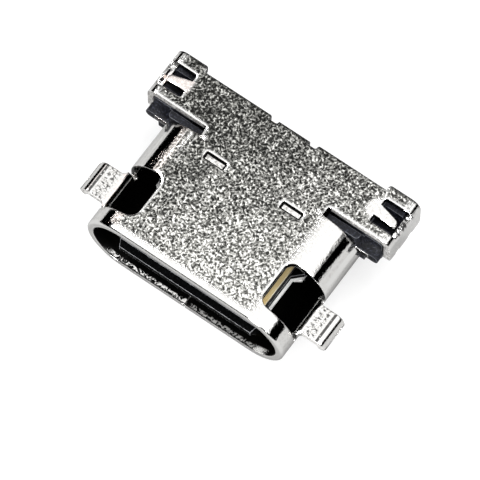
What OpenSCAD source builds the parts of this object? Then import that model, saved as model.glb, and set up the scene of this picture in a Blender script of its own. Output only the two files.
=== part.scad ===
/* [Mouth and tube] */
// Width of the mouth opening
mouth_w = 8.34; // [8:0.01:8.8]
// Height of the mouth opening
mouth_h = 2.56; // [2.4:0.01:2.8]
// Thickness of the shell sheet
sheet = 0.3; // [0.24:0.01:0.34]
// Length of the rolled tube, from the mouth to its rear edge
tube_l = 4.98; // [4.8:0.01:5.4]
// Width of the bevel round the inside of the mouth
lead_in = 0.12; // [0.04:0.01:0.16]
// Width of the bevel round the outside of the mouth
lip_bevel = 0.06; // [0.02:0.01:0.08]
// Gap of the butt seam along the underside
seam_gap = 0.04; // [0.02:0.01:0.08]
// Half width of the dovetail key that locks the seam
key_w = 0.5; // [0.4:0.01:0.7]
// Reach of the dovetail key across the seam
key_l = 0.7; // [0.5:0.01:0.9]

/* [Roof plate] */
// Distance from the mouth to the rear edge of the roof plate
roof_l = 7.19; // [7:0.01:7.6]
// Half width of the roof plate where it leaves the tube
neck_x = 2.9; // [2.7:0.05:3.2]
// Length of the slots between the tube and the ears
slot_l = 0.41; // [0.3:0.01:0.6]
// Distance from the mouth to the rear edge of the ears
ear_l = 7.44; // [7.3:0.01:7.8]
// Half width of the step between the roof's rear edge and the ears
rear_step_x = 4.14; // [4:0.01:4.3]
// Half width of the break-off tab on the rear edge
breakoff_x = 0.72; // [0.5:0.01:1]
// Distance by which the break-off tab ends short of the rear edge
breakoff_back = 0.05; // [0.02:0.01:0.1]
// Width of the notches beside the break-off tab
break_notch_w = 0.33; // [0.25:0.01:0.4]
// Depth of the notches beside the break-off tab
break_notch_l = 0.18; // [0.12:0.01:0.25]

/* [Pressed pads] */
// Distance of a pressed pad from the centre line
pad_x = 1.74; // [1.4:0.01:2]
// Width of a pressed pad
pad_w = 0.92; // [0.6:0.01:1]
// Distance from the rear edge of the tube to a pad's middle
pad_back = 0.53; // [0.4:0.01:0.8]
// Length of a pressed pad
pad_l = 0.32; // [0.24:0.01:0.4]
// Depth to which a pad is pressed down
pad_drop = 0.16; // [0.1:0.01:0.2]
// Height by which a pad's underside stands down inside the mouth
pad_bulge = 0.08; // [0.04:0.01:0.1]
// Corner radius of a pressed pad
pad_r = 0.06; // [0.04:0.01:0.1]
// Margin of a pressed pad that lies lower, round its crown
pad_margin = 0.06; // [0.04:0.01:0.07]
// Height of the crown above that margin
crown_h = 0.06; // [0.02:0.01:0.08]

/* [Ears] */
// Width over both ears
ear_span = 11.1; // [10.9:0.01:11.4]
// Outer radius of the fold between roof and ear
ear_fold_r = 0.45; // [0.4:0.01:0.5]
// Height of the ears' lower edges above the board
ear_lift = 0.02; // [0.02:0.01:0.2]
// Radius of the scallops on an ear's lower corners
ear_corner_r = 0.22; // [0.1:0.01:0.3]
// Radius of the nicks in an ear's lower edge, under the slits
nick_r = 0.12; // [0.08:0.01:0.15]
// Distance from an ear's front edge to its latch spring
spring_front = 0.71; // [0.6:0.01:0.8]
// Width of a latch spring at its root
spring_w = 0.5; // [0.4:0.01:0.55]
// Width of a latch spring at its free end
spring_tip_w = 0.32; // [0.25:0.01:0.38]
// Width of the slits on either side of a latch spring
slit_w = 0.3; // [0.22:0.01:0.34]
// Length of the slits, from their inner ends to the ear's outer face
slit_reach = 1.23; // [1.15:0.01:1.3]
// Sheet left between the slits' outer ends and the ear's outer face
slit_edge = 0.1; // [0.06:0.01:0.14]
// Width of the strip outside a spring's free end, seen from above
strip_w = 0.2; // [0.16:0.01:0.24]
// Gap between a spring's free end and the strip
spring_gap = 0.14; // [0.08:0.01:0.2]
// Height by which a spring's free end is bent down
spring_drop = 0.1; // [0.05:0.01:0.2]
// Room left below a spring's free end
spring_room = 0.2; // [0.1:0.01:0.3]

/* [Board tabs] */
// Height of the board above the middle of the mouth
board_z = 0; // [-0.1:0.01:0.1]
// Width over both board tabs
tab_span = 11.24; // [11:0.01:11.6]
// Distance from the mouth to a tab's front edge
tab_front = 1.12; // [1.08:0.01:1.2]
// Length of a board tab along the tube
tab_l = 1.36; // [1.2:0.01:1.4]
// Radius of the roll where a tab leaves the tube wall
tab_root_r = 0.48; // [0.45:0.01:0.6]
// Outer radius of the hook at a tab's end
hook_r = 0.36; // [0.35:0.01:0.45]
// Angle through which the hook is bent down
hook_a = 62; // [45:1:75]
// Straight length at the end of the hook
hook_end = 0.22; // [0.05:0.01:0.25]
// Radius of the fillets between tab and tube wall
tab_fillet_r = 0.18; // [0.1:0.01:0.2]
// Corner radius at a tab's free end
tab_corner_r = 0.1; // [0.04:0.01:0.16]

/* [Side windows] */
// Half width of the roof strip left between the windows
window_x = 2.84; // [2.7:0.01:2.95]
// Distance from the mouth to a window's front edge
window_front = 0.78; // [0.7:0.01:0.85]
// Length of a window along the tube
window_l = 2.04; // [1.98:0.01:2.2]
// Corner radius of a window on the roof
window_r = 0.42; // [0.3:0.01:0.5]
// Radius of the round reliefs at a window's lower corners
relief_r = 0.08; // [0.05:0.01:0.09]

/* [Anchor lugs] */
// Reach of an anchor lug out from the tube's side
lug_reach = 0.42; // [0.3:0.01:0.5]
// Height of a lug's upper face above the board
lug_h = 0.72; // [0.68:0.01:0.74]
// Length of a lug along the tube
lug_l = 0.34; // [0.25:0.01:0.36]
// Distance by which a lug starts ahead of the tube's rear edge
lug_lead = 0.06; // [0.04:0.01:0.1]

/* [Tongue] */
// Distance from the mouth to the tongue's tip
tongue_tip = 0.05; // [0.02:0.01:0.3]
// Width of the tongue
tongue_w = 6.69; // [6.6:0.01:6.8]
// Thickness of the tongue
tongue_h = 0.7; // [0.68:0.01:0.76]
// Width of the tongue at its tip, before it widens
tip_w = 5.98; // [5.9:0.01:6.2]
// Length over which the tongue widens
tip_l = 0.8; // [0.6:0.01:0.9]
// Thickness of the tongue at its bevelled nose
nose_h = 0.26; // [0.2:0.01:0.4]
// Length of the nose's bevels
nose_l = 0.24; // [0.1:0.01:0.3]
// Distance from the mouth to the latch notches in the tongue's sides
notch_front = 1.05; // [1:0.01:1.2]
// Length of the latch notches
notch_l = 1.65; // [1.4:0.01:1.8]
// Width of the plastic between the notches
notch_w = 5.94; // [5.92:0.01:6.04]
// Distance from the mouth to the thick root of the tongue
root_front = 4.2; // [4:0.01:4.4]
// Width of the root
root_w = 7.2; // [7:0.01:7.4]
// Thickness of the root
root_h = 1.24; // [1.1:0.01:1.4]

/* [Steel plate] */
// Thickness of the steel plate inside the tongue
plate_h = 0.15; // [0.12:0.01:0.18]
// Width of the steel plate between the notches
plate_notch_w = 6.12; // [6.08:0.01:6.2]
// Distance from the tongue's tip to the steel plate
plate_back = 0.25; // [0.2:0.01:0.3]
// Width of a board leg of the steel plate
plate_leg_w = 0.4; // [0.3:0.01:0.45]
// Gap between the outermost contact foot and the plate's leg
leg_gap = 0.18; // [0.12:0.01:0.22]

/* [Contacts] */
// Pitch of the contacts
pitch = 0.5; // [0.48:0.01:0.5]
// Width of a contact
contact_w = 0.22; // [0.18:0.01:0.24]
// Thickness of a contact
contact_h = 0.12; // [0.1:0.01:0.14]
// Height of a contact above the tongue's face
contact_proud = 0.02; // [0.01:0.01:0.04]
// Distance from the tongue's tip to the contacts
contact_back = 0.7; // [0.6:0.01:0.9]
// Distance by which the contacts' jogs end ahead of the base of the tongue
jog_back = 0.25; // [0.2:0.01:0.4]
// Length of a solder foot behind the housing
foot_l = 0.5; // [0.3:0.01:0.7]
// Width of a solder foot
foot_w = 0.24; // [0.2:0.01:0.26]
// Distance from the tongue's tip to the contact carriers
carrier_back = 0.45; // [0.4:0.01:0.55]
// Plastic of a carrier outside its outermost contact
carrier_rim = 0.04; // [0.03:0.01:0.05]
// Wall of the root outside the carriers
root_wall = 0.32; // [0.2:0.01:0.4]

/* [Housing] */
// Depth of the plug space, from the mouth to the base of the tongue
base_l = 6.15; // [6.1:0.01:6.25]
// Distance from the mouth to the rear face of the housing
body_l = 7.05; // [7:0.01:7.1]
// Distance from the mouth to the rear face of the part below the board
lower_l = 6.55; // [6.5:0.01:6.65]
// Length of the collar's rib, which shows in the slots
rib_l = 0.27; // [0.2:0.01:0.29]
// Depth of the groove behind the rib
rib_h = 0.2; // [0.1:0.01:0.3]
// Width of the collar round the plug space
collar_w = 8.68; // [8.6:0.01:8.9]
// Distance between the tube and the collar
collar_gap = 0.04; // [0.02:0.01:0.1]
// Corner radius of the collar, seen from above
collar_r = 0.15; // [0.08:0.01:0.2]
// Wall of the collar beside the tongue's root block
collar_wall = 0.36; // [0.3:0.01:0.4]
// Height of the front shoulders above the board
shoulder_h = 0.78; // [0.76:0.01:0.9]
// Thickness of the front shoulders
shoulder_t = 0.44; // [0.42:0.01:0.5]
// Length of the front shoulders, ahead of the ears
shoulder_l = 0.44; // [0.42:0.01:0.5]
// Width of the web under a shoulder, out from the tube's side
web_w = 0.26; // [0.1:0.01:0.4]
// Distance by which the shoulders end short of the ears' outer faces
shoulder_in = 0.24; // [0.15:0.01:0.3]
// Edge radius of the shoulders
shoulder_r = 0.2; // [0.1:0.01:0.2]

/* [Fits] */
// Clearance between moulded pieces and what they hold
fit = 0.01; // [0.005:0.005:0.02]
// Clearance between the housing and the ears
ear_fit = 0.03; // [0.02:0.01:0.05]

/* [Hidden] */
// Depth to which joined shapes run into each other
lap = 0.1;

// Rounds a length to a thousandth, so that shapes that share it meet exactly
function thou(v) = round(v * 1000) / 1000;

in_r = mouth_h / 2;
out_r = in_r + sheet;
end_x = mouth_w / 2 - in_r;
side_x = end_x + out_r;
roof_z = in_r;
top_z = roof_z + sheet;
rest_z = -out_r;

ear_x = ear_span / 2;
ear_front = tube_l + slot_l;
ear_in_x = ear_x - sheet;
ear_low = board_z + ear_lift;
fold_x = ear_x - ear_fold_r;
fold_z = top_z - ear_fold_r;
step_r = (fold_x - rear_step_x) / 8;

spring_y = ear_front + spring_front;
spring_rear = spring_y + spring_w;
slit_in_x = ear_x - slit_reach;
slit_out_x = ear_x - slit_edge;
strip_x = ear_x - strip_w;
spring_tip_x = strip_x - spring_gap;

tab_x = tab_span / 2;
tab_top = board_z + sheet;
tab_rear = tab_front + tab_l;
tab_root_x = mouth_w / 2 + tab_root_r;
tab_root_z = tab_top - tab_root_r;
hook_x = thou(tab_x - hook_r * sin(hook_a) - hook_end * cos(hook_a));
hook_z = tab_top - hook_r;
window_rear = window_front + window_l;
window_low = tab_root_z;

lug_x = side_x + lug_reach;
lug_top = board_z + lug_h;
lug_front = tube_l - lug_lead;
lug_rear = lug_front + lug_l;

collar_x = collar_w / 2;
collar_front = tube_l + collar_gap;
block_x = ear_in_x - ear_fit;
block_rear = ear_l - step_r;
block_top = roof_z - ear_fit;
shoulder_x = ear_x - shoulder_in;
shoulder_front = ear_front - shoulder_l;
shoulder_top = board_z + shoulder_h;
root_block_x = collar_x - collar_wall;
root_block_l = body_l - lap;

// Places of the contacts in use and of their feet, counted in pitches from the centre line
seats = [0.5, 1.5, 2.5, 5.5];
upper_feet = [0.5, 2.5, 4.9, 6.2];
lower_feet = [1.5, 3.5, 4.3, 5.6];

half_tongue = tongue_w / 2;
tongue_rear = root_front + lap;
contact_top = tongue_h / 2 + contact_proud;
contact_front = tongue_tip + contact_back;
rail_x = 5.5 * pitch + contact_w / 2 + carrier_rim;
carrier_front = tongue_tip + carrier_back;
carrier_root_x = root_w / 2 - root_wall;
jog_front = tongue_rear;
jog_rear = base_l - jog_back;
foot_y = body_l + foot_l;
plate_front = tongue_tip + plate_back;
plate_root_x = root_w / 2 - lap;
plate_leg_in = upper_feet[3] * pitch + foot_w / 2 + leg_gap;
plate_leg_out = plate_leg_in + plate_leg_w;
overall_l = foot_y;

// Right half of the tongue's outline seen from above: tapered tip and latch notches
tongue_side = [
    [tip_w / 2, tongue_tip],
    [half_tongue, tongue_tip + tip_l],
    [half_tongue, notch_front],
    [notch_w / 2, notch_front + (half_tongue - notch_w / 2) / 2],
    [notch_w / 2, notch_front + notch_l],
    [half_tongue, notch_front + notch_l + half_tongue - notch_w / 2],
    [half_tongue, tongue_rear]];

upper_names = ["a1", "a4", "a5", "a6", "a7", "a8", "a9", "a12"];
lower_names = ["b12", "b9", "b8", "b7", "b6", "b5", "b4", "b1"];

$fn = 48;

steel = "#c9c8c4";
black = "#202124";
dark = "#2b2c30";
gold = "#d9a93f";

// Moves a piece from the mouth's own axes to the part's origin
module placed() {
    translate([0, -overall_l / 2, -rest_z]) children();
}

// Extrudes a flat shape drawn in X and Z along the tube, from y0 to y1
module along(y0, y1) {
    translate([0, y0, 0]) rotate([-90, 0, 0])
        linear_extrude(y1 - y0) mirror([0, 1]) children();
}

// Extrudes a flat shape drawn in Y and Z across the tube, from x0 to x1
module across(x0, x1) {
    translate([x0, 0, 0]) rotate([90, 0, 90]) linear_extrude(x1 - x0) children();
}

module both_sides() {
    children();
    mirror([1, 0, 0]) children();
}

// Box given by its two edges along each axis
module box(x0, x1, y0, y1, z0, z1) {
    translate([x0, y0, z0]) cube([x1 - x0, y1 - y0, z1 - z0]);
}

// Flat slot shape with full-round ends
module stadium(half_x, r) {
    square([2 * half_x, 2 * r], center = true);
    for (s = [-1, 1]) translate([s * half_x, 0]) circle(r);
}

// Flat rectangle with rounded corners, given by its edges
module rounded_rect(x0, x1, y0, y1, r) {
    translate([x0 + r, y0]) square([x1 - x0 - 2 * r, y1 - y0]);
    translate([x0, y0 + r]) square([x1 - x0, y1 - y0 - 2 * r]);
    for (x = [x0 + r, x1 - r], y = [y0 + r, y1 - r]) translate([x, y]) circle(r);
}

// What a rounding takes off a shape whose upper left corner stands at the origin
module corner_cut(r) {
    difference() {
        square(2 * r, center = true);
        translate([r, -r]) circle(r);
    }
}

// Bent sheet seen edge on: a ring piece between two angles under half a turn apart
module bend(r, a0, a1) {
    far = 3 * r;
    intersection() {
        difference() {
            circle(r);
            circle(r - sheet);
        }
        polygon([[0, 0], far * [cos(a0), sin(a0)], far * [cos((a0 + a1) / 2), sin((a0 + a1) / 2)],
            far * [cos(a1), sin(a1)]]);
    }
}

// Mirrored outline in X and Y, from the points of its right half
module mirrored_outline(side) {
    polygon(concat(side, [for (i = [len(side) - 1:-1:0]) [-side[i][0], side[i][1]]]));
}

// Sweeps a small section, drawn as distance from the end's centre and depth, round the mouth
module round_mouth() {
    for (s = [0, 180]) rotate([0, s, 0]) translate([end_x, 0, 0])
        rotate([-90, 0, 0]) rotate([0, 0, -90]) rotate_extrude(angle = 180) children();
    for (s = [0, 180]) rotate([0, s, 0])
        translate([end_x, 0, 0]) rotate([0, -90, 0]) linear_extrude(2 * end_x) children();
}

module tube() {
    difference() {
        along(0, lug_rear) difference() {
            stadium(end_x, out_r);
            stadium(end_x, in_r);
        }
        along(tube_l, lug_rear + lap) behind_tube();
        round_mouth() polygon([[in_r - lead_in, -lead_in], [in_r + lead_in, -lead_in],
            [in_r - lead_in, lead_in]]);
        round_mouth() polygon([[out_r - lip_bevel, 0], [out_r + lip_bevel, -2 * lip_bevel],
            [out_r + lip_bevel, 2 * lip_bevel], [out_r, lip_bevel]]);
        translate([0, 0, rest_z - lap]) linear_extrude(out_r) seam_outline();
        both_sides() window();
    }
}

// All but the two strips of wall that run on behind the tube, to the anchor lugs
module behind_tube() {
    wide = side_x + lap;
    translate([-wide, lug_top]) square([2 * wide, out_r]);
    translate([-wide, rest_z - lap]) square([2 * wide, lug_top - sheet - rest_z + lap]);
}

// Course of the seam seen from above: straight, with a dovetail key in its middle
module seam_outline() {
    g = seam_gap / 2;
    mid = tube_l / 2;
    root = key_w * 0.7;
    translate([-g, -lap]) square([2 * g, mid - root + lap]);
    translate([-g, mid + root]) square([2 * g, mid - root + lap]);
    difference() {
        polygon([[-g, mid - root - g], [key_l + g, mid - key_w - g], [key_l + g, mid + key_w + g],
            [-g, mid + root + g]]);
        polygon([[-lap, mid - root + g], [g, mid - root + g], [key_l - g, mid - key_w + g],
            [key_l - g, mid + key_w - g], [g, mid + root - g], [-lap, mid + root - g]]);
    }
}

// Opening that the board tab was cut and bent from, with a round relief at each lower corner
module window() {
    intersection() {
        translate([0, 0, rest_z]) linear_extrude(top_z - rest_z + lap)
            rounded_rect(window_x, side_x + 1, window_front, window_rear, window_r);
        across(0, side_x + 1) {
            translate([window_front, window_low]) square([window_l, top_z - window_low + lap]);
            for (y = [window_front + relief_r, window_rear - relief_r])
                translate([y, window_low]) circle(relief_r);
        }
    }
}

// Board tab: rolls out of the tube wall, lies flat on the board and hooks down at its end
module board_tab() {
    intersection() {
        along(tab_front - tab_fillet_r, tab_rear + tab_fillet_r) {
            translate([tab_root_x, tab_root_z]) bend(tab_root_r, 90, 180);
            translate([tab_root_x, board_z]) square([hook_x - tab_root_x, sheet]);
            translate([hook_x, hook_z]) bend(hook_r, 90 - hook_a, 90);
            translate([hook_x, hook_z]) rotate(90 - hook_a) translate([hook_r - sheet, -hook_end])
                square([sheet, hook_end]);
        }
        translate([0, 0, rest_z]) linear_extrude(2 * out_r) tab_outline();
    }
}

module tab_outline() {
    root = side_x + tab_fillet_r;
    rounded_rect(in_r, tab_x, tab_front, tab_rear, tab_corner_r);
    difference() {
        translate([in_r, tab_front - tab_fillet_r])
            square([root - in_r, tab_l + 2 * tab_fillet_r]);
        for (y = [tab_front - tab_fillet_r, tab_rear + tab_fillet_r])
            translate([root, y]) circle(tab_fillet_r);
    }
}

// Flat outline of roof plate and ear tops, seen from above
module roof_outline() {
    lap_x = end_x - lap;
    translate([-lap_x, tube_l - 5 * lap]) square([2 * lap_x, 10 * lap]);
    difference() {
        union() {
            translate([-neck_x, tube_l]) square([2 * neck_x, roof_l - tube_l]);
            translate([-rear_step_x, ear_front]) square([2 * rear_step_x, roof_l - ear_front]);
            for (s = [0, 1]) mirror([s, 0]) ear_top_outline();
        }
        for (s = [-1, 1]) translate([s * neck_x, tube_l + slot_l / 2]) circle(slot_l / 2);
        for (s = [0, 1]) mirror([s, 0]) break_notch();
        translate([-breakoff_x, roof_l - breakoff_back]) square([2 * breakoff_x, 1]);
    }
}

// Flat part of an ear's top, with the rounded step beside the roof's rear edge
module ear_top_outline() {
    translate([neck_x, ear_front]) square([fold_x - neck_x, roof_l - ear_front]);
    difference() {
        translate([rear_step_x, roof_l - lap]) square([fold_x - rear_step_x, ear_l - roof_l + lap]);
        translate([rear_step_x, ear_l]) corner_cut(step_r);
    }
}

// Notch beside the break-off tab; its outer mouth is rounded
module break_notch() {
    outer = breakoff_x + break_notch_w;
    r = break_notch_l / 2;
    rounded_rect(breakoff_x, outer, roof_l - break_notch_l, roof_l + 1, r);
    translate([outer, roof_l]) corner_cut(r);
}

module roof() {
    translate([0, 0, roof_z]) linear_extrude(sheet) roof_outline();
}

module ear() {
    along(ear_front, ear_l) translate([fold_x, fold_z]) bend(ear_fold_r, 0, 90);
    across(ear_in_x, ear_x) ear_side_outline();
}

// Side of an ear seen edge on to the roof, with its scalloped lower edge
module ear_side_outline() {
    difference() {
        union() {
            translate([ear_front, ear_low + ear_corner_r])
                square([ear_l - ear_front, fold_z - ear_low - ear_corner_r]);
            translate([ear_front + ear_corner_r, ear_low])
                square([ear_l - ear_front - 2 * ear_corner_r, fold_z - ear_low]);
            for (y = [ear_front + ear_corner_r, ear_l - ear_corner_r])
                translate([y, ear_low + ear_corner_r]) circle(ear_corner_r);
        }
        for (y = [spring_y - slit_w / 2, spring_rear + slit_w / 2])
            translate([y, ear_low]) circle(nick_r);
    }
}

// What is cut from roof and fold to free a latch spring
module spring_cut() {
    y0 = spring_y - slit_w;
    y1 = spring_rear + slit_w;
    r = slit_w / 3;
    translate([0, 0, fold_z]) linear_extrude(ear_fold_r + lap) {
        rounded_rect(slit_in_x, slit_out_x, y0, spring_y, r);
        rounded_rect(slit_in_x, slit_out_x, spring_rear, y1, r);
        translate([slit_in_x, y0 + r]) square([strip_x - slit_in_x, y1 - y0 - 2 * r]);
    }
}

// Latch spring, bent down towards its free end
module spring() {
    root = slit_in_x - lap;
    mid = slit_in_x + (spring_tip_x - slit_in_x) / 3;
    low = roof_z - spring_drop;
    tip_y = spring_y + spring_tip_w;
    c = spring_tip_w / 4;
    intersection() {
        along(spring_y, spring_rear) polygon([[root, roof_z], [root, top_z], [mid, top_z],
            [spring_tip_x, low + sheet], [spring_tip_x, low], [mid, roof_z]]);
        translate([0, 0, low - lap]) linear_extrude(2 * sheet) polygon([[root, spring_y],
            [spring_tip_x - c, spring_y], [spring_tip_x, spring_y + c], [spring_tip_x, tip_y - c],
            [spring_tip_x - c, tip_y], [slit_in_x, spring_rear], [root, spring_rear]]);
    }
}

// Lug that stands out from the strip of wall behind the tube
module anchor_lug() {
    box(end_x + (in_r + out_r) / 2 - lap / 2, lug_x, lug_front, lug_rear, lug_top - sheet, lug_top);
}

// Pressed pad: its outline, its recess in the roof, its crown and its underside inside the mouth
module pad_outline(inset = 0) {
    x = pad_w / 2 - inset;
    y = pad_l / 2 - inset;
    translate([pad_x, tube_l - pad_back]) rounded_rect(-x, x, -y, y, pad_r - inset / 2);
}

module pad_recess() {
    translate([0, 0, top_z - pad_drop]) linear_extrude(pad_drop + lap) pad_outline();
}

module pad_boss() {
    translate([0, 0, roof_z - pad_bulge]) linear_extrude(pad_bulge + sheet - pad_drop) pad_outline();
}

module pad_crown() {
    translate([0, 0, roof_z]) linear_extrude(sheet - pad_drop + crown_h) pad_outline(pad_margin);
}

module shell() placed() color(steel) {
    difference() {
        union() {
            tube();
            roof();
            both_sides() ear();
        }
        both_sides() {
            pad_recess();
            spring_cut();
        }
    }
    both_sides() {
        pad_boss();
        pad_crown();
        board_tab();
        spring();
        anchor_lug();
    }
}

// Front shoulder: a rounded bar beside the tube that holds the anchor lug, with a web to the board
module shoulder() {
    along(shoulder_front, ear_front - ear_fit)
        rounded_rect(collar_x - 2 * lap, shoulder_x, shoulder_top - shoulder_t, shoulder_top,
            min(shoulder_r, shoulder_t / 2 - fit));
    box(collar_x - lap, side_x + web_w, shoulder_front, ear_front - ear_fit, board_z,
        shoulder_top - shoulder_t / 2);
}

// Side block that fills an ear, rounded under the fold, with the pocket under its latch spring
module side_block() {
    difference() {
        along(ear_front - ear_fit, block_rear) difference() {
            translate([collar_x - 2 * lap, board_z])
                square([block_x - collar_x + 2 * lap, block_top - board_z]);
            translate([block_x, block_top]) mirror([1, 0])
                corner_cut(ear_fold_r - sheet - ear_fit);
        }
        box(slit_in_x - lap, block_x + 1, spring_y - slit_w / 2, spring_rear + slit_w / 2,
            roof_z - spring_drop - spring_room, block_top + 1);
    }
}

module housing() placed() color(black) difference() {
    union() {
        along(tube_l + fit, lower_l) intersection() {
            stadium(end_x, out_r);
            translate([-side_x, rest_z]) square([2 * side_x, board_z - rest_z]);
        }
        translate([0, 0, board_z]) linear_extrude(roof_z - board_z)
            rounded_rect(-collar_x, collar_x, collar_front, body_l, collar_r);
        both_sides() {
            shoulder();
            side_block();
        }
    }
    along(shoulder_front - 1, tube_l + fit) stadium(end_x, out_r + fit);
    along(tube_l, base_l) stadium(end_x, in_r);
    along(base_l - lap, body_l + 1) translate([-root_block_x - fit, -root_h / 2 - fit])
        square([2 * (root_block_x + fit), root_h + 2 * fit]);
    both_sides() box(end_x, lug_x + fit, lug_front - 1, lug_rear + fit,
        lug_top - sheet - fit, lug_top + fit);
    both_sides() box(neck_x, collar_x + lap, collar_front + rib_l, ear_front, roof_z - rib_h, roof_z + 1);
}

// Tongue seen from the side, with its bevelled nose
module tongue_profile() {
    h = tongue_h / 2;
    polygon([[tongue_tip, -nose_h / 2], [tongue_tip, nose_h / 2], [tongue_tip + nose_l, h],
        [tongue_rear, h], [tongue_rear, -h], [tongue_tip + nose_l, -h]]);
}

module carrier(up) {
    z0 = up ? plate_h / 2 + fit : -tongue_h / 2;
    z1 = up ? tongue_h / 2 : -plate_h / 2 - fit;
    difference() {
        union() {
            box(-rail_x, rail_x, carrier_front, tongue_rear, z0, z1);
            box(-carrier_root_x, carrier_root_x, tongue_rear, base_l, z0, z1);
        }
        contact_row(up, fit);
    }
}

module upper_carrier() placed() color(dark) carrier(true);
module lower_carrier() placed() color(dark) carrier(false);

module tongue_overmold() placed() color(black) difference() {
    union() {
        intersection() {
            translate([0, 0, -tongue_h]) linear_extrude(2 * tongue_h) mirrored_outline(tongue_side);
            across(-tongue_w, tongue_w) tongue_profile();
        }
        box(-root_w / 2, root_w / 2, root_front, base_l + lap, -root_h / 2, root_h / 2);
        box(-root_block_x, root_block_x, base_l, lower_l, -root_h / 2, root_h / 2);
        box(-root_block_x, root_block_x, base_l, root_block_l, board_z + fit, root_h / 2);
    }
    box(-rail_x - fit, rail_x + fit, carrier_front - fit, tongue_rear + fit, -tongue_h, tongue_h);
    box(-carrier_root_x - fit, carrier_root_x + fit, tongue_rear - fit, base_l + fit,
        -tongue_h / 2 - fit, tongue_h / 2 + fit);
    steel_plate(fit);
    contact_row(true, fit);
    contact_row(false, fit);
}

// Right half of the steel plate's outline seen from above; grow moves it outwards
function plate_side(grow) = [
    [tip_w / 2 + grow, plate_front - grow],
    [half_tongue - lap + grow, tongue_tip + tip_l],
    [half_tongue + grow, notch_front - lap],
    [half_tongue + grow, notch_front],
    [plate_notch_w / 2 + grow, notch_front + lap],
    [plate_notch_w / 2 + grow, notch_front + notch_l],
    [half_tongue + grow, notch_front + notch_l + 2 * lap],
    [half_tongue + grow, tongue_rear],
    [plate_root_x + grow, tongue_rear + 2 * lap],
    [plate_root_x + grow, base_l + lap / 2],
    [plate_leg_out + grow, lower_l - lap / 2],
    [plate_leg_out + grow, lower_l],
    [plate_leg_in - grow, lower_l],
    [plate_leg_in - grow, lower_l - lap],
    [plate_leg_in - 1.5 * lap - grow, base_l + 1.2 * lap + grow]];

// Steel plate between the contact rows, with a board leg on each side
module steel_plate(grow = 0) {
    translate([0, 0, -plate_h / 2 - grow]) linear_extrude(plate_h + 2 * grow)
        mirrored_outline(plate_side(grow));
    both_sides() leg_strip(plate_leg_in, plate_leg_out, lower_l - lap / 2, lower_l + lap / 2,
        lower_l + 2 * lap, -plate_h / 2, plate_h, grow);
}

// Strip seen from the side that steps from height z to the board and ends in a foot
module leg_strip(x0, x1, y0, y1, y2, z, h, grow) {
    low = board_z - grow;
    high = board_z + h + grow;
    across(x0 - grow, x1 + grow) polygon([[y0, z - grow], [y0, z + h + grow],
        [y1, z + h + grow], [y2, high], [foot_y + grow, high], [foot_y + grow, low], [y2, low],
        [y1, z - grow]]);
}

module mid_plate() placed() color(steel) steel_plate();

// One contact: a straight strip, a sideways jog inside the root, and a stepped leg
module contact(up, x0, x1, grow = 0) {
    z0 = up ? contact_top - contact_h : -contact_top;
    leg = up ? lower_l + lap : base_l + lap;
    w = contact_w / 2 + grow;
    f = foot_w / 2 + grow;
    translate([0, 0, z0 - grow]) linear_extrude(contact_h + 2 * grow)
        polygon([[x0 - w, contact_front - grow], [x0 + w, contact_front - grow],
            [x0 + w, jog_front], [x1 + f, jog_rear], [x1 + f, leg], [x1 - f, leg],
            [x1 - f, jog_rear], [x0 - w, jog_front]]);
    leg_strip(x1 - foot_w / 2, x1 + foot_w / 2, leg - lap, leg, leg + 2 * lap, z0, contact_h, grow);
}

// The contact that stands i-th from the left in a row
module contact_at(up, i, grow = 0) {
    k = i < 4 ? 3 - i : i - 4;
    s = i < 4 ? -1 : 1;
    contact(up, s * seats[k] * pitch, s * (up ? upper_feet[k] : lower_feet[k]) * pitch, grow);
}

module contact_row(up, grow) {
    for (i = [0:7]) contact_at(up, i, grow);
}

module contact_node(up, i) placed() color(gold) contact_at(up, i);

shell();
housing();
tongue_overmold();
upper_carrier();
lower_carrier();
mid_plate();
for (i = [0:7]) {
    contact_node(true, i);
    contact_node(false, i);
}
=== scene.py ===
import math

import bmesh
import bpy
from mathutils import Matrix, Vector


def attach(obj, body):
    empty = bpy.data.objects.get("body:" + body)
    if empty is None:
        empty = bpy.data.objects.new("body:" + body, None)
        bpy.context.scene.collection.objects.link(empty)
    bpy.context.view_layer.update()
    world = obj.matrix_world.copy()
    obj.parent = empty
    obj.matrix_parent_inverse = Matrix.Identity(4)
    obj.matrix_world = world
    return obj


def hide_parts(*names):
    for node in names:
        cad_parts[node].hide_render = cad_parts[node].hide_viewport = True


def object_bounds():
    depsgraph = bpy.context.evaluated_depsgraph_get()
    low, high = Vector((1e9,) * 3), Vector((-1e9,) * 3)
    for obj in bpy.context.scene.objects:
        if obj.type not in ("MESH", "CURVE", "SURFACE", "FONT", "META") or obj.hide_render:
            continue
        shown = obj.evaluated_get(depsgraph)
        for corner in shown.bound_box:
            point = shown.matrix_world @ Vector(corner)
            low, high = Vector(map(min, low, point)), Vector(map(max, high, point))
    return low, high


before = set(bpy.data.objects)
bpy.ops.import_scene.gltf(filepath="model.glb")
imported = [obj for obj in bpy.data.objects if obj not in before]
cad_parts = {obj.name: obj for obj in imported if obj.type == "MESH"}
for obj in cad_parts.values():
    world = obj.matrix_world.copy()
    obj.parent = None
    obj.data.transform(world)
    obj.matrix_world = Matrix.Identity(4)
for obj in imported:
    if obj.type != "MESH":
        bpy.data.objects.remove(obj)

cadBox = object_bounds()
mm = 0.001
low, high = (Vector(corner) for corner in cadBox)
middle = (low + high) / 2
mouth, underside, top = low.y / mm, low.z / mm, high.z / mm    # in mm, to measure places from


# Node helpers

def addNode(tree, kind, inputs=None, **settings):
    node = tree.nodes.new(kind)
    for name, value in settings.items():
        setattr(node, name, value)
    for name, value in (inputs or {}).items():
        if isinstance(value, bpy.types.NodeSocket):
            tree.links.new(value, node.inputs[name])
        else:
            node.inputs[name].default_value = value
    return node


def calc(tree, operation, a, b=0.0, c=0.0):
    return addNode(tree, "ShaderNodeMath", {0: a, 1: b, 2: c}, operation=operation).outputs[0]


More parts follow.
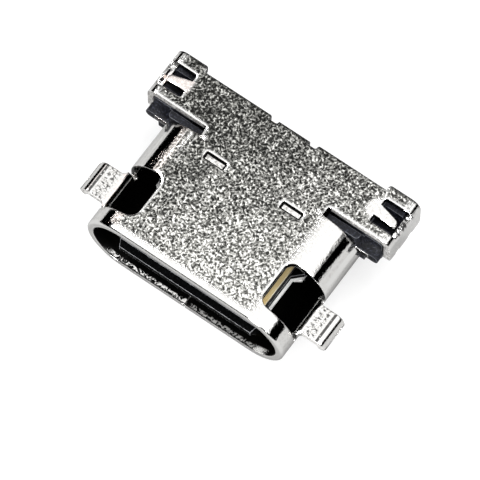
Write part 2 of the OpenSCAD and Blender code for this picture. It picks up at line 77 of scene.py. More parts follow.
def vectorCalc(tree, operation, a, b=(0, 0, 0)):
    node = addNode(tree, "ShaderNodeVectorMath", {0: a, 1: b}, operation=operation)
    return node.outputs["Value" if operation == "DOT_PRODUCT" else "Vector"]


def times(tree, first, *others):
    # Product, which for masks is where all of them meet
    for other in others:
        first = calc(tree, "MULTIPLY", first, other)
    return first


def anyOf(tree, first, *others):
    # Where at least one of several masks is
    for other in others:
        first = calc(tree, "MAXIMUM", first, other)
    return first


def without(tree, mask, removed):
    return times(tree, mask, calc(tree, "SUBTRACT", 1.0, removed))


def gap(tree, value, place):
    return calc(tree, "ABSOLUTE", calc(tree, "SUBTRACT", value, place))


def reachOf(tree, a, b):
    return calc(tree, "SQRT", calc(tree, "ADD", times(tree, a, a), times(tree, b, b)))


def swayed(tree, value, noise, amount):
    # Value moved up and down by a noise that runs from 0 to 1, which makes the border of a mask ragged
    return calc(tree, "MULTIPLY_ADD", calc(tree, "SUBTRACT", noise, 0.5), amount, value)


def fade(tree, value, start, full, first=0.0, last=1.0):
    # Smooth step from start to full, which may be the lower of the two
    node = addNode(tree, "ShaderNodeMapRange", {0: value, 1: start, 2: full, 3: first, 4: last},
                   interpolation_type="SMOOTHSTEP")
    return node.outputs[0]


def between(tree, value, start, full, fading, gone):
    return times(tree, fade(tree, value, start, full), fade(tree, value, gone, fading))


def spreadOut(tree, value, spread):
    # Stretches what lies within spread of one half over the whole range
    lowest = calc(tree, "SUBTRACT", 0.5, spread)
    highest = calc(tree, "ADD", 0.5, spread)
    return addNode(tree, "ShaderNodeMapRange", {0: value, 1: lowest, 2: highest}).outputs[0]


def mixValue(tree, factor, a, b):
    return addNode(tree, "ShaderNodeMix", {0: factor, 2: a, 3: b}, data_type="FLOAT").outputs[0]


def mixColour(tree, factor, a, b, blend="MIX"):
    a, b = (c if isinstance(c, bpy.types.NodeSocket) else (*c, 1) for c in (a, b))
    node = addNode(tree, "ShaderNodeMix", {0: factor, 6: a, 7: b}, data_type="RGBA", blend_type=blend)
    return node.outputs[2]


def ramp(tree, value, stops):
    node = addNode(tree, "ShaderNodeValToRGB", {0: value})
    points = node.color_ramp.elements
    while len(points) < len(stops):
        points.new(0.5)
    for point, (place, colour) in zip(points, stops):
        point.position = place
        point.color = (*colour, 1)
    return node.outputs[0]


def objectPlace(tree):
    return addNode(tree, "ShaderNodeTexCoord").outputs["Object"]


def splitVector(tree, vector):
    return addNode(tree, "ShaderNodeSeparateXYZ", {0: vector}).outputs


def faceMark(tree, name):
    return addNode(tree, "ShaderNodeAttribute", attribute_name=name).outputs["Fac"]


def makeNoise(tree, spot, scale=1.0, **settings):
    inputs = {"Vector": spot, "Scale": scale, **settings}
    return addNode(tree, "ShaderNodeTexNoise", inputs).outputs["Fac"]


def newGroup(name, inputs, outputs):
    tree = bpy.data.node_groups.new(name, "ShaderNodeTree")
    for label, value in inputs.items():
        socket = tree.interface.new_socket(label, in_out="INPUT", socket_type="NodeSocketFloat")
        socket.default_value = value
    for label in outputs:
        tree.interface.new_socket(label, in_out="OUTPUT", socket_type="NodeSocketFloat")
    return tree, tree.nodes.new("NodeGroupInput").outputs, tree.nodes.new("NodeGroupOutput").inputs


def placeGroup(tree, group, **values):
    node = tree.nodes.new("ShaderNodeGroup")
    node.node_tree = group
    for name, value in values.items():
        node.inputs[name].default_value = value
    return node.outputs


# Effects that several finishes share. Their Size is in mm, and a scale is noise cells in each Size.

grainLook = {"blotch": {"Detail": 0.6}, "fine": {"scale": 3.1, "Detail": 1.0},
             "worm": {"scale": 0.62, "Detail": 0.5, "Distortion": 0.6}, "wormHalfWidth": 0.1}
edgeLook = {"patchesPerMm": 3, "Detail": 2.0, "patchRange": (0.4, 0.6)}
cloudLook = {"Detail": 3.0}


def makeGrain(look):
    # Bright and dark grain of a matt plated or eroded surface, part blotches and part winding lines
    tree, given, out = newGroup("surfaceGrain", {"Size": 0.1, "Spread": 0.2, "Worms": 0.5}, ["Grain", "Fine"])
    spot = vectorCalc(tree, "MULTIPLY", objectPlace(tree), calc(tree, "DIVIDE", 1 / mm, given["Size"]))
    blotch = spreadOut(tree, makeNoise(tree, spot, **look["blotch"]), given["Spread"])
    offLine = gap(tree, makeNoise(tree, spot, **look["worm"]), 0.5)
    worm = fade(tree, offLine, look["wormHalfWidth"], 0.0)
    tree.links.new(mixValue(tree, given["Worms"], blotch, worm), out["Grain"])
    tree.links.new(makeNoise(tree, spot, **look["fine"]), out["Fine"])
    return tree


def makeEdges(look):
    # Rounded edges, from the mark that dressed pieces carry on their edge faces, broken into patches
    tree, given, out = newGroup("edgeShine", {"Strength": 1.0, "Patches": 0.5}, ["Edge"])
    patch = makeNoise(tree, objectPlace(tree), look["patchesPerMm"] / mm, Detail=look["Detail"])
    broken = mixValue(tree, given["Patches"], 1.0, fade(tree, patch, *look["patchRange"]))
    tree.links.new(times(tree, faceMark(tree, "edgeFace"), given["Strength"], broken), out["Edge"])
    return tree


def makeClouds(look):
    # Slow change over the whole surface: handling, uneven plating, flow of the plastic
    tree, given, out = newGroup("slowClouds", {"Size": 1.5, "Spread": 0.2}, ["Cloud"])
    scale = calc(tree, "DIVIDE", 1 / mm, given["Size"])
    slow = makeNoise(tree, objectPlace(tree), scale, Detail=look["Detail"])
    tree.links.new(spreadOut(tree, slow, given["Spread"]), out["Cloud"])
    return tree


grainGroup, edgeGroup, cloudGroup = makeGrain(grainLook), makeEdges(edgeLook), makeClouds(cloudLook)


def startMaterial(name):
    material = bpy.data.materials.new(name)
    material.use_nodes = True
    tree = material.node_tree
    return material, tree, tree.nodes["Principled BSDF"].inputs


def bump(tree, shader, height, depth, below=None):
    # Relief of a depth in mm, on the surface's own normal or on the one given as below
    node = addNode(tree, "ShaderNodeBump", {"Height": height, "Distance": depth * mm, "Strength": 1.0})
    if below:
        tree.links.new(below, node.inputs["Normal"])
    tree.links.new(node.outputs["Normal"], shader["Normal"])


# The shell's finish: frosted nickel plating with bright, drawn edges.
# Lengths are in mm: x to the right of the middle, side either way from it, depth in from the mouth, height
# from the underside. A slope is how far a face looks up, from -1 to 1, and a facing how far it looks to the
# rear. Of two numbers, a mask starts at the first and is full at the second; four are its start, where it
# is full, where it starts to fade and where it is gone.

shellLook = {
    # Grain, what is laid over it, and its relief
    "grain": {"Size": 0.098, "Spread": 0.16, "Worms": 0.45},
    "edge": {"Strength": 1.0, "Patches": 0.25},
    "cloud": {"Size": 1.8, "Spread": 0.2},
    "fineShare": 0.4, "cloudShare": 0.1,
    # The front right of the shell is lightened with painted light, growing along x minus y
    "flankLight": 0.3, "frontPaintedLight": 0.4, "paintedLightDiagonal": (-6.0, 6.0),
    "grainDepth": 0.012, "brightDepthShare": 0.09,
    # Plating, matt on the roof and bright elsewhere
    "frostedSlope": (0.9, 0.94), "frostedHeight": (2.0, 2.4), "frostedDepth": (0.27, 0.35),
    "frostedTones": [(0.0, (0.012, 0.012, 0.0115)), (0.25, (0.06, 0.06, 0.056)), (0.55, (0.25, 0.248, 0.233)),
                     (0.8, (0.6, 0.595, 0.57)), (1.0, (0.9, 0.89, 0.87))],
    "brightTones": [(0.0, (0.66, 0.65, 0.63)), (1.0, (0.88, 0.87, 0.85))],
    "frostedRoughness": (0.48, 0.3), "brightRoughness": (0.015, 0.095),
    # How ragged the borders of the matt and polished places are
    "raggedSlope": 0.08, "raggedDepth": 0.4, "raggedX": 0.8, "raggedRoot": 0.4,
    # Rims, where the sheet leans over towards a drawn edge: polished, and lightened as a painted highlight
    # where they face forwards; the lean is a cosine, and rear edges have no rim
    "drawnRadius": 0.17, "rimLean": (0.9998, 0.996), "rimFacing": (0.05, 0.0),
    "rimHighlightColour": (0.93, 0.925, 0.91),
    # Polished places: the tube's right shoulder, the latch springs, and the root of the right one
    "shoulderX": (2.7, 3.0), "shoulderDepth": (5.175, 4.975),
    "springSide": (4.1, 4.3, 5.3, 5.4), "springDepth": 6.35, "springHalfWidth": (0.3, 0.26),
    "rootSide": 4.2, "rootStretch": 1.3, "rootReach": (0.45, 0.35),
    "rightHalf": (-1.0, 1.0), "leftHalf": (1.0, -1.0),
    # Flanks of the tube, warm on the left, and darkened with painted shade where they turn down towards the
    # seam
    "tubeDepth": (5.375, 5.075), "flankSlope": (0.995, 0.96),
    "warmSlope": (0.8, 0.9), "warmDepth": (0.15, 0.35), "warmTint": (1.0, 0.9, 0.87), "warmShare": 0.7,
    "lowShadeSlope": (0.2, -0.25), "lowShadeColour": (0.11, 0.105, 0.1), "lowShadeShare": 0.7,
    # Dark marks of bending: noise cells in each mm along x, y and z, and where they show
    "tickCells": (3.5, 9.0, 3.5), "tickNoise": {"Detail": 1.5}, "tickRange": (0.5, 0.56),
    "pitCells": (8.5, 9.5, 0.0), "pitNoise": {"Detail": 2.5, "Roughness": 0.65}, "pitRange": (0.47, 0.6),
    "hookRange": (0.33, 0.42), "leftFoldShare": 0.15,
    "foldSide": (5.2, 5.3, 5.5, 5.56), "foldHeight": (2.3, 2.6), "foldDepth": (5.675, 5.875, 6.875, 7.175),
    "tabSide": (4.5, 4.75, 5.0, 5.12), "hookSide": (5.14, 5.18, 5.25, 5.29), "tabHeight": (2.2, 2.0),
    "markColour": (0.01, 0.01, 0.01), "markShare": 0.9,
    # Sheared ends, punched walls painted dark as shade, and rear edges painted dark as a reflection of the
    # dark horizon
    "cutTones": [(0.0, (0.3, 0.29, 0.28)), (0.5, (0.7, 0.69, 0.67)), (1.0, (0.95, 0.94, 0.92))],
    "cutRoughness": 0.45, "cutMetallic": 0.6, "wallShadeColour": (0.012, 0.012, 0.012),
    "darkReflectionFacing": (0.04, 0.1), "darkReflectionHeight": (2.8, 3.1), "darkReflectionDepth": (6.775, 6.975),
    "darkReflectionColour": (0.008, 0.008, 0.008),
    # Painted shade inside the mouth, and painted highlights in it: frosted grain on the lower lip painted
    # white as a strip, a burr at its gap, a glint
    "innerShadeColour": (0.03, 0.03, 0.029), "innerRoughness": 0.3,
    "stripDepth": (0.05, 0.08, 0.19, 0.24), "stripSlope": (0.8, 0.97), "stripGrain": (0.3, 0.5),
    "leftStripX": (0.0, -0.08), "rightStripX": (0.12, 0.3), "rightStripShare": 0.6,
    "burrGlintX": -0.07, "burrGlintDepth": 0.16, "burrGlintReach": (0.1, 0.07),
    "glintX": (3.1, 3.3, 3.5, 3.7), "glintSlope": (0.6, 0.8), "glintDepth": (0.3, 0.22),
    "paintedHighlightColour": (1.0, 0.99, 0.97), "paintedHighlightMetallic": 0.1,
}


def readShell(tree, look):
    # What the finish follows: grain, marks of the faces, places in mm, and the way a face looks
    grained = placeGroup(tree, grainGroup, **look["grain"])
    fine = grained["Fine"]
    spot = vectorCalc(tree, "MULTIPLY", objectPlace(tree), (1 / mm, 1 / mm, 1 / mm))
    x, y, z = splitVector(tree, spot)
    depth = calc(tree, "SUBTRACT", y, mouth)
    surface = addNode(tree, "ShaderNodeNewGeometry").outputs
    up = splitVector(tree, surface["Normal"])["Z"]
    # Normal that leans over near an edge, and the one halfway to it
    drawn = addNode(tree, "ShaderNodeBevel", {"Radius": look["drawnRadius"] * mm}, samples=6).outputs[0]
    halfDrawn = vectorCalc(tree, "NORMALIZE", vectorCalc(tree, "ADD", drawn, surface["Normal"]))
    return {
        "grain": grained["Grain"], "fine": fine,
        "cloud": placeGroup(tree, cloudGroup, **look["cloud"])["Cloud"],
        "edge": placeGroup(tree, edgeGroup, **look["edge"])["Edge"],
        "cut": faceMark(tree, "cutFace"), "wall": faceMark(tree, "wallFace"),
        "inner": faceMark(tree, "innerFace"),
        "spot": spot, "x": x, "raggedX": swayed(tree, x, fine, look["raggedX"]),
        "side": calc(tree, "ABSOLUTE", x), "diagonal": calc(tree, "SUBTRACT", x, y),
        "depth": depth, "raggedDepth": swayed(tree, depth, fine, look["raggedDepth"]),
        "height": calc(tree, "SUBTRACT", z, underside),
        "up": up, "raggedUp": swayed(tree, up, fine, look["raggedSlope"]),
        "rearward": splitVector(tree, drawn)["Y"], "halfDrawn": halfDrawn,
        "lean": vectorCalc(tree, "DOT_PRODUCT", drawn, surface["True Normal"]),
    }


def springMask(tree, look, at):
    across = gap(tree, at["depth"], look["springDepth"])
    return times(tree, between(tree, at["side"], *look["springSide"]),
                 fade(tree, across, *look["springHalfWidth"]))


def polishedMask(tree, look, at, spring):
    shoulder = times(tree, fade(tree, at["raggedX"], *look["shoulderX"]),
                     fade(tree, at["depth"], *look["shoulderDepth"]))
    outwards = times(tree, calc(tree, "SUBTRACT", at["side"], look["rootSide"]), look["rootStretch"])
    reach = reachOf(tree, outwards, gap(tree, at["depth"], look["springDepth"]))
    root = times(tree, fade(tree, swayed(tree, reach, at["fine"], look["raggedRoot"]), *look["rootReach"]),
                 fade(tree, at["x"], *look["rightHalf"]))
    return anyOf(tree, shoulder, spring, root)


def frostedMask(tree, look, at, rim, spring):
    # The roof, clear of its lip, of its edges and of polished places
    frosted = times(tree, fade(tree, at["raggedUp"], *look["frostedSlope"]),
                    fade(tree, at["height"], *look["frostedHeight"]),
                    fade(tree, at["raggedDepth"], *look["frostedDepth"]))
    frosted = without(tree, frosted, anyOf(tree, at["edge"], rim))
    return without(tree, frosted, polishedMask(tree, look, at, spring))


def speckTone(tree, look, at, flank):
    # Grain, with slower changes, lighter flanks and painted light towards the front right laid over it
    speck = swayed(tree, at["grain"], at["fine"], look["fineShare"])
    speck = swayed(tree, speck, at["cloud"], look["cloudShare"])
    speck = calc(tree, "MULTIPLY_ADD", flank, look["flankLight"], speck)
    return swayed(tree, speck, fade(tree, at["diagonal"], *look["paintedLightDiagonal"]), look["frontPaintedLight"])


def warmMask(tree, look, at, flank, spring):
    warmFlank = times(tree, flank, fade(tree, at["up"], *look["warmSlope"]),
                      fade(tree, at["depth"], *look["warmDepth"]))
    return times(tree, anyOf(tree, warmFlank, spring), fade(tree, at["x"], *look["leftHalf"]))


def bendMask(tree, look, at):
    # Short stretch marks across the ears' folds, and torn ones on the tabs and along their hooks
    tickSpot = vectorCalc(tree, "MULTIPLY", at["spot"], look["tickCells"])
    pitSpot = vectorCalc(tree, "MULTIPLY", at["spot"], look["pitCells"])
    tick, pit = makeNoise(tree, tickSpot, **look["tickNoise"]), makeNoise(tree, pitSpot, **look["pitNoise"])
    ticks = times(tree, between(tree, at["side"], *look["foldSide"]),
                  between(tree, at["depth"], *look["foldDepth"]),
                  fade(tree, at["height"], *look["foldHeight"]),
                  fade(tree, at["x"], *look["rightHalf"], look["leftFoldShare"], 1.0),
                  fade(tree, tick, *look["tickRange"]))
    pits = times(tree, between(tree, at["side"], *look["tabSide"]), fade(tree, pit, *look["pitRange"]))
    hooks = times(tree, between(tree, at["side"], *look["hookSide"]), fade(tree, pit, *look["hookRange"]))
    onTab = fade(tree, at["height"], *look["tabHeight"])
    return anyOf(tree, ticks, times(tree, onTab, anyOf(tree, pits, hooks)))


def mouthHighlightMask(tree, look, at):
    # Painted highlights inside the mouth: the strip of grain on the lower lip, the burr at its gap and the
    # glint
    sides = calc(tree, "ADD", fade(tree, at["x"], *look["leftStripX"]),
                 fade(tree, at["x"], *look["rightStripX"], 0.0, look["rightStripShare"]))
    strip = times(tree, sides, between(tree, at["depth"], *look["stripDepth"]),
                  fade(tree, at["up"], *look["stripSlope"]), fade(tree, at["grain"], *look["stripGrain"]))
    fromBurrGlint = reachOf(tree, calc(tree, "SUBTRACT", at["x"], look["burrGlintX"]),
                       calc(tree, "SUBTRACT", at["depth"], look["burrGlintDepth"]))
    glint = times(tree, between(tree, at["raggedX"], *look["glintX"]),
                  fade(tree, at["up"], *look["glintSlope"]), fade(tree, at["depth"], *look["glintDepth"]))
    paintedHighlight = anyOf(tree, strip, fade(tree, fromBurrGlint, *look["burrGlintReach"]), glint)
    return times(tree, at["inner"], paintedHighlight)


# Rear-facing edges of the roof, where a dark reflection is painted
def darkReflectionMask(tree, look, at):
    return times(tree, fade(tree, at["rearward"], *look["darkReflectionFacing"]),
                 fade(tree, at["height"], *look["darkReflectionHeight"]), fade(tree, at["depth"], *look["darkReflectionDepth"]))


def makeNickel(look):
    material, tree, shader = startMaterial("frostedNickel")
    at = readShell(tree, look)
    rim = times(tree, fade(tree, at["lean"], *look["rimLean"]),
                fade(tree, at["rearward"], *look["rimFacing"]))
    spring = springMask(tree, look, at)
    frosted = frostedMask(tree, look, at, rim, spring)
    onTube = fade(tree, at["depth"], *look["tubeDepth"])
    flank = times(tree, fade(tree, at["up"], *look["flankSlope"]), onTube)
    lowFlankPaintedShade = times(tree, fade(tree, at["up"], *look["lowShadeSlope"]), onTube)
    paintedHighlight = mouthHighlightMask(tree, look, at)
    speck = speckTone(tree, look, at, flank)

    # Colour, each layer over the ones before it
    body = mixColour(tree, frosted, ramp(tree, speck, look["brightTones"]),
                     ramp(tree, speck, look["frostedTones"]))
    # Polished rims, painted light as a highlight only where they do not face the rear
    body = mixColour(tree, rim, body, look["rimHighlightColour"])
    warm = times(tree, warmMask(tree, look, at, flank, spring), look["warmShare"])
    body = mixColour(tree, warm, body, look["warmTint"], "MULTIPLY")
    # Painted shade on the tube's downward-facing flanks, towards the seam
    body = mixColour(tree, times(tree, lowFlankPaintedShade, look["lowShadeShare"]), body, look["lowShadeColour"])
    marks = times(tree, bendMask(tree, look, at), look["markShare"])
    body = mixColour(tree, marks, body, look["markColour"])
    body = mixColour(tree, at["cut"], body, ramp(tree, speck, look["cutTones"]))
    # Painted shade on the walls of punched features
    body = mixColour(tree, at["wall"], body, look["wallShadeColour"])
    # Painted shade inside the mouth
    body = mixColour(tree, at["inner"], body, look["innerShadeColour"])
    # Painted highlights inside the mouth, white and hardly metallic
    body = mixColour(tree, paintedHighlight, body, look["paintedHighlightColour"])
    # Painted dark reflection on the rear edges
    body = mixColour(tree, darkReflectionMask(tree, look, at), body, look["darkReflectionColour"])
    tree.links.new(body, shader["Base Color"])

    # Gloss and relief
    polish = mixValue(tree, frosted, mixValue(tree, at["fine"], *look["brightRoughness"]),
                      mixValue(tree, at["grain"], *look["frostedRoughness"]))
    polish = mixValue(tree, at["cut"], polish, look["cutRoughness"])
    tree.links.new(mixValue(tree, at["inner"], polish, look["innerRoughness"]), shader["Roughness"])
    metal = mixValue(tree, at["cut"], 1.0, look["cutMetallic"])
    tree.links.new(mixValue(tree, paintedHighlight, metal, look["paintedHighlightMetallic"]), shader["Metallic"])
    relief = times(tree, speck, mixValue(tree, frosted, look["brightDepthShare"], 1.0))
    bump(tree, shader, relief, look["grainDepth"], below=at["halfDrawn"])
    return material


# Moulded plastics: black with the grain of the mould, paler flecks, and lighter edges that are a painted
# highlight

plasticLooks = {
    "housing_plastic": {"name": "mouldedBlack", "colour": (0.005, 0.0055, 0.008),
                        "edgeHighlightColour": (0.12, 0.125, 0.14), "grainSize": 0.07, "grainDepth": 0.01,
                        "roughness": 0.45, "specular": 0.17},
    "tongue_plastic": {"name": "tongueBlack", "colour": (0.0008, 0.0009, 0.001),
                       "edgeHighlightColour": (0.35, 0.355, 0.37), "grainSize": 0.05, "grainDepth": 0.004,
                       "roughness": 0.5, "specular": 0.012},
    "carrier_plastic": {"name": "carrierBlack", "colour": (0.002, 0.002, 0.0024),
                        "edgeHighlightColour": (0.03, 0.03, 0.034), "grainSize": 0.06, "grainDepth": 0.004,
                        "roughness": 0.5, "specular": 0.12},
}
plasticShared = {"grain": {"Spread": 0.3, "Worms": 0.0}, "edge": {"Strength": 1.0, "Patches": 0.5},
                 "cloud": {"Size": 1.2, "Spread": 0.25}, "dim": 0.75, "light": 1.3, "fleck": 5.0,
                 "fleckRange": (0.55, 0.9), "grainRoughness": (0.12, -0.06), "edgeRoughness": -0.12}


def makePlastic(look, shared):
    material, tree, shader = startMaterial(look["name"])
    grain = placeGroup(tree, grainGroup, Size=look["grainSize"], **shared["grain"])["Grain"]
    edge = placeGroup(tree, edgeGroup, **shared["edge"])["Edge"]
    cloud = placeGroup(tree, cloudGroup, **shared["cloud"])["Cloud"]
    dim, light, fleck = (tuple(part * shared[tone] for part in look["colour"])
                         for tone in ("dim", "light", "fleck"))
    body = mixColour(tree, cloud, dim, light)
    body = mixColour(tree, fade(tree, grain, *shared["fleckRange"]), body, fleck)
    # Lighter edges, a painted highlight
    tree.links.new(mixColour(tree, edge, body, look["edgeHighlightColour"]), shader["Base Color"])
    grained = mixValue(tree, grain, *(look["roughness"] + change for change in shared["grainRoughness"]))
    polish = mixValue(tree, edge, grained, look["roughness"] + shared["edgeRoughness"])
    tree.links.new(polish, shader["Roughness"])
    shader["Specular IOR Level"].default_value = look["specular"]
    bump(tree, shader, grain, look["grainDepth"])
    return material


# Rolled strip metals, with fine draw lines stretched along one axis

stripLooks = {
    "plate_sheet": {"name": "plateSteel", "dark": (0.95, 0.95, 0.94), "bright": (1.0, 1.0, 0.98),
                    "edgeHighlightColour": (1.0, 1.0, 1.0), "lineStretch": (1.0, 0.06, 1.0), "roughness": 0.4,
                    "metallic": 0.05, "edgeMetallic": 0.05},
    "contact_metal": {"name": "flashGold", "dark": (0.85, 0.6, 0.24), "bright": (1.0, 0.87, 0.52),
                      "edgeHighlightColour": (1.0, 0.97, 0.88), "lineStretch": (1.0, 0.05, 1.0), "roughness": 0.3,
                      "metallic": 0.3, "edgeMetallic": 1.0},
}
stripShared = {"linesPerMm": 16, "Detail": 2.0, "lineDepth": 0.002, "edge": {"Strength": 0.8, "Patches": 0.4},
               "cloud": {"Size": 0.7, "Spread": 0.22}, "cloudShare": 0.3, "toneRange": (0.3, 0.75),
               "lineRoughness": (-0.07, 0.12)}


def makeStripMetal(look, shared):
    material, tree, shader = startMaterial(look["name"])
    lines = vectorCalc(tree, "MULTIPLY", objectPlace(tree), look["lineStretch"])
    streak = makeNoise(tree, lines, shared["linesPerMm"] / mm, Detail=shared["Detail"])
    edge = placeGroup(tree, edgeGroup, **shared["edge"])["Edge"]
    cloud = placeGroup(tree, cloudGroup, **shared["cloud"])["Cloud"]
    tone = fade(tree, mixValue(tree, shared["cloudShare"], streak, cloud), *shared["toneRange"])
    body = mixColour(tree, tone, look["dark"], look["bright"])
    # Paler edges, a painted highlight
    tree.links.new(mixColour(tree, edge, body, look["edgeHighlightColour"]), shader["Base Color"])
    polish = mixValue(tree, streak, *(look["roughness"] + change for change in shared["lineRoughness"]))
    tree.links.new(polish, shader["Roughness"])
    tree.links.new(mixValue(tree, edge, look["metallic"], look["edgeMetallic"]), shader["Metallic"])
    bump(tree, shader, streak, shared["lineDepth"])
    return material


finishes = {"shell_sheet": makeNickel(shellLook)}
for slot, look in plasticLooks.items():
    finishes[slot] = makePlastic(look, plasticShared)
for slot, look in stripLooks.items():
    finishes[slot] = makeStripMetal(look, stripShared)
print("finishes:", len(finishes))


# Dressed pieces: the solids with their real edge radii, in mm

pieceDress = {
    "shell": {"slot": "shell_sheet", "width": 0.03, "segments": 3, "joined": True, "sheared": True},
    "housing": {"slot": "housing_plastic", "width": 0.015, "segments": 2, "joined": False},
    "tongue_overmold": {"slot": "tongue_plastic", "width": 0.015, "segments": 2, "joined": True},
    "upper_carrier": {"slot": "carrier_plastic", "width": 0.012, "segments": 2, "joined": True},
    "lower_carrier": {"slot": "carrier_plastic", "width": 0.012, "segments": 2, "joined": True},
    "mid_plate": {"slot": "plate_sheet", "width": 0.015, "segments": 2, "joined": True},
}
contactDress = {"slot": "contact_metal", "width": 0.025, "segments": 2, "joined": True}
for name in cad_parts:
    if name.startswith("contact_"):
        pieceDress[name] = contactDress

# Faces of the shell that are marked for a finish of their own, by places in mm and parts of their normals
shellFaces = {
    "acrossLeast": 0.95, "lipDepth": 0.2,
    "tabSide": 4.5, "tabTop": 2.1, "earSide": 2.9, "earDepth": 5.39, "earMargin": 0.02,
    "wallHeight": 0.31, "wallBelowTop": 0.37, "wallSlope": 0.2,
    "padSide": 1.74, "padDepth": 4.45, "padHalfLength": 0.5, "padHalfWidth": 0.2,
    "padHeight": (2.98, 3.15), "crownHeight": 3.04, "crownSlope": 0.9,
    "axisSide": 2.89, "axisHeight": 1.58, "insideRadius": 1.33, "insideDepth": 5.075, "insideAcross": 0.5,
}

# An edge is rounded where its faces turn by between least and most degrees. They are shaded as one below
# smooth, and joined below flat. Points weld within so many mm.
edgeRule = {"least": 38, "most": 125, "smooth": 30, "flat": 0.6, "weldWithin": 0.0001}


def mergedSolid(name, joined):
    # Copy of a solid in millimetres, its loose triangles welded and joined into whole flats
    work = bmesh.new()
    work.from_mesh(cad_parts[name].data)
    bmesh.ops.scale(work, vec=(1 / mm, 1 / mm, 1 / mm), verts=work.verts)
    bmesh.ops.remove_doubles(work, verts=work.verts, dist=edgeRule["weldWithin"])
    if joined:
        bmesh.ops.dissolve_limit(work, angle_limit=math.radians(edgeRule["flat"]), verts=work.verts,
                                 edges=work.edges, use_dissolve_boundaries=False)
    return work


def isOnPad(place, side, depth, height):
    lowest, highest = place["padHeight"]
    return (abs(side - place["padSide"]) < place["padHalfLength"]
            and abs(depth - place["padDepth"]) < place["padHalfWidth"] and lowest < height < highest)


def faceKinds(face, place):
    # Bright sheared ends, walls of what was punched through, and the inside of the mouth; the walls and the
    # inside later get painted shade
    spot, normal = face.calc_center_median(), face.normal
    side, depth, height = abs(spot.x), spot.y - mouth, spot.z - underside
    heights = [vert.co.z for vert in face.verts]
    across = abs(normal.y) > place["acrossLeast"] and depth > place["lipDepth"]
    onTab = side > place["tabSide"] and height < place["tabTop"]
    onEar = side > place["earSide"] and abs(depth - place["earDepth"]) < place["earMargin"]
    wallInRoof = (max(heights) - min(heights) < place["wallHeight"]
                  and min(heights) > top - place["wallBelowTop"] and abs(normal.z) < place["wallSlope"])
    onPad = isOnPad(place, side, depth, height)
    crown = onPad and normal.z > place["crownSlope"] and height > place["crownHeight"]
    fromAxis = math.hypot(max(side - place["axisSide"], 0), height - place["axisHeight"])
    inMouth = (fromAxis < place["insideRadius"] and depth < place["insideDepth"]
               and abs(normal.y) < place["insideAcross"])
    cut = (across and (onTab or onEar)) or crown
    return {"cutFace": cut, "wallFace": (across or wallInRoof or onPad) and not cut, "innerFace": inMouth}


def markFaces(work):
    layers = {kind: work.faces.layers.float.new(kind) for kind in ("cutFace", "wallFace", "innerFace")}
    for face in work.faces:
        for kind, found in faceKinds(face, shellFaces).items():
            face[layers[kind]] = float(found)


def markEdges(work):
    weight = work.edges.layers.float.new("bevel_weight_edge")
    for edge in work.edges:
        if len(edge.link_faces) == 2 and edge.is_convex:
            turn = math.degrees(edge.calc_face_angle())
            edge[weight] = float(edgeRule["least"] < turn < edgeRule["most"])


def bevelled(name, mesh, dress):
    # The mesh with its marked edges rounded, and with its second material on the new faces
    holder = bpy.data.objects.new(name + "Work", mesh)
    bpy.context.collection.objects.link(holder)
    bevel = holder.modifiers.new("rounding", "BEVEL")
    bevel.limit_method = "WEIGHT"
    bevel.width = dress["width"]
    bevel.segments = dress["segments"]
    bevel.use_clamp_overlap = False
    bevel.loop_slide = False
    bevel.material = 1
    bevel.harden_normals = True
    result = bpy.data.meshes.new_from_object(holder.evaluated_get(bpy.context.evaluated_depsgraph_get()))
    bpy.data.objects.remove(holder)
    return result


def dressPiece(name, dress):
    work = mergedSolid(name, dress["joined"])
    if dress.get("sheared"):
        markFaces(work)
    markEdges(work)
    mesh = bpy.data.meshes.new(name + "Work")
    work.to_mesh(mesh)
    work.free()
    # The finish twice, so that the rounding's own faces can be told from the rest
    finish = finishes[dress["slot"]]
    mesh.materials.append(finish)
    mesh.materials.append(finish)
    mesh.shade_smooth()
    mesh.set_sharp_from_angle(angle=math.radians(edgeRule["smooth"]))
    result = bevelled(name, mesh, dress)
    result.name = name + "Dressed"
    result.transform(Matrix.Scale(mm, 4))
    # Those faces get a mark, and all go back to one material
    mark = result.attributes.new("edgeFace", "FLOAT", "FACE")
    mark.data.foreach_set("value", [float(polygon.material_index) for polygon in result.polygons])
    for polygon in result.polygons:
        polygon.material_index = 0
    result.materials.pop(index=1)
    piece = bpy.data.objects.new(name + "Dressed", result)
    bpy.context.collection.objects.link(piece)
    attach(piece, "root")
    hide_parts(name)
    return piece


for name, dress in pieceDress.items():
    piece = dressPiece(name, dress)
    print("dressed", name, len(piece.data.polygons), "faces")


# Floor, light and camera, in metres and degrees

floorLook = {"size": 0.9, "tone": 0.4, "lift": 0.6, "roughness": 0.9, "clearance": 0.00001}


def makeFloor(look):
    half = look["size"] / 2
    corners = [(-half, -half, 0), (half, -half, 0), (half, half, 0), (-half, half, 0)]
    mesh = bpy.data.meshes.new("floor")
    mesh.from_pydata(corners, [], [(0, 1, 2, 3)])
    material, tree, shader = startMaterial("paleTable")
    shader["Base Color"].default_value = (look["tone"], look["tone"], look["tone"], 1)
    shader["Roughness"].default_value = look["roughness"]
    shader["Emission Color"].default_value = (1, 1, 1, 1)
    seen = addNode(tree, "ShaderNodeLightPath").outputs["Is Camera Ray"]
    tree.links.new(times(tree, seen, look["lift"]), shader["Emission Strength"])
    # Clear from below, so the underside can be looked at
    below = addNode(tree, "ShaderNodeNewGeometry").outputs["Backfacing"]
    solid = tree.nodes["Principled BSDF"].outputs[0]
    clear = addNode(tree, "ShaderNodeBsdfTransparent").outputs[0]
    both = addNode(tree, "ShaderNodeMixShader", {0: below, 1: solid, 2: clear})
    tree.links.new(both.outputs[0], tree.nodes["Material Output"].inputs["Surface"])
    mesh.materials.append(material)
    floor = bpy.data.objects.new("floor", mesh)
    floor.location.z = low.z - look["clearance"]
    bpy.context.collection.objects.link(floor)


# The tent and the ground start and are full at these heights, as sines of the angle above the horizon
skyLook = {"strength": 1.35, "seenStrength": 0.95, "tilt": 5, "tent": (0.54, 0.62), "ground": (-0.12, -0.2),
           "groundShare": 0.5}


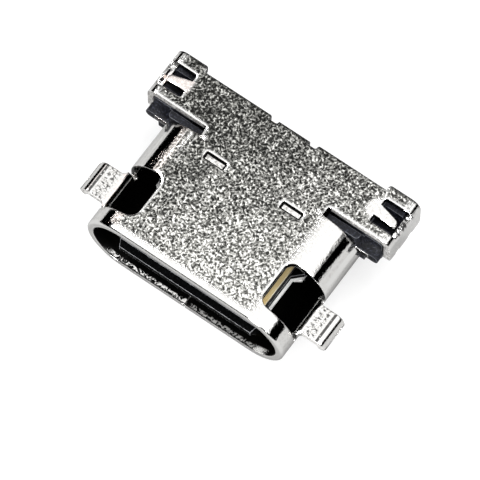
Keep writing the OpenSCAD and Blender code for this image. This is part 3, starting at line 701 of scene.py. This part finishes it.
def makeSky(look):
    # Bright tent overhead that leans a little to the right, a dark horizon and pale ground
    world = bpy.data.worlds.new("tent")
    bpy.context.scene.world = world
    world.use_nodes = True
    tree = world.node_tree
    lean = math.radians(look["tilt"])
    axis = (math.sin(lean), 0, math.cos(lean))
    rise = vectorCalc(tree, "DOT_PRODUCT", addNode(tree, "ShaderNodeTexCoord").outputs["Generated"], axis)
    tone = calc(tree, "ADD", fade(tree, rise, *look["tent"]),
                fade(tree, rise, *look["ground"], 0.0, look["groundShare"]))
    seen = addNode(tree, "ShaderNodeLightPath").outputs["Is Camera Ray"]
    strength = mixValue(tree, seen, times(tree, tone, look["strength"]), look["seenStrength"])
    back = tree.nodes["Background"].inputs
    back["Color"].default_value = (1, 1, 1, 1)
    tree.links.new(strength, back["Strength"])


panels = {
    "keyPanel": {"place": (-0.22, 0.02, 0.30), "size": 0.10, "power": 0.6},
    "frontPanel": {"place": (0.04, -0.34, 0.18), "size": 0.14, "power": 1.0},
    "sidePanel": {"place": (0.28, -0.05, 0.24), "size": 0.08, "power": 0.5},
}


def addPanel(name, place, size, power):
    light = bpy.data.lights.new(name, "AREA")
    light.shape = "DISK"
    light.size = size
    light.energy = power
    holder = bpy.data.objects.new(name, light)
    holder.location = place
    holder.rotation_euler = (middle - Vector(place)).to_track_quat("-Z", "Y").to_euler()
    bpy.context.collection.objects.link(holder)


cameraLook = {"aimFromMiddle": (0.000494, -0.000856, 0.0), "azimuth": 35.48, "elevation": 67.37,
              "distance": 0.1962, "lens": 394.2, "sensor": 36, "nearest": 0.01}


def addCamera(look):
    turn, rise = math.radians(look["azimuth"]), math.radians(look["elevation"])
    away = Vector((math.cos(rise) * math.sin(turn), -math.cos(rise) * math.cos(turn), math.sin(rise)))
    data = bpy.data.cameras.new("camera")
    data.lens = look["lens"]
    data.sensor_width = look["sensor"]
    data.clip_start = look["nearest"]
    camera = bpy.data.objects.new("camera", data)
    camera.location = middle + Vector(look["aimFromMiddle"]) + away * look["distance"]
    camera.rotation_euler = (-away).to_track_quat("-Z", "Y").to_euler()
    bpy.context.collection.objects.link(camera)
    bpy.context.scene.camera = camera


makeFloor(floorLook)
makeSky(skyLook)
for name, panel in panels.items():
    addPanel(name, **panel)
addCamera(cameraLook)
bpy.context.scene.view_settings.view_transform = "Standard"
print("stage ready")
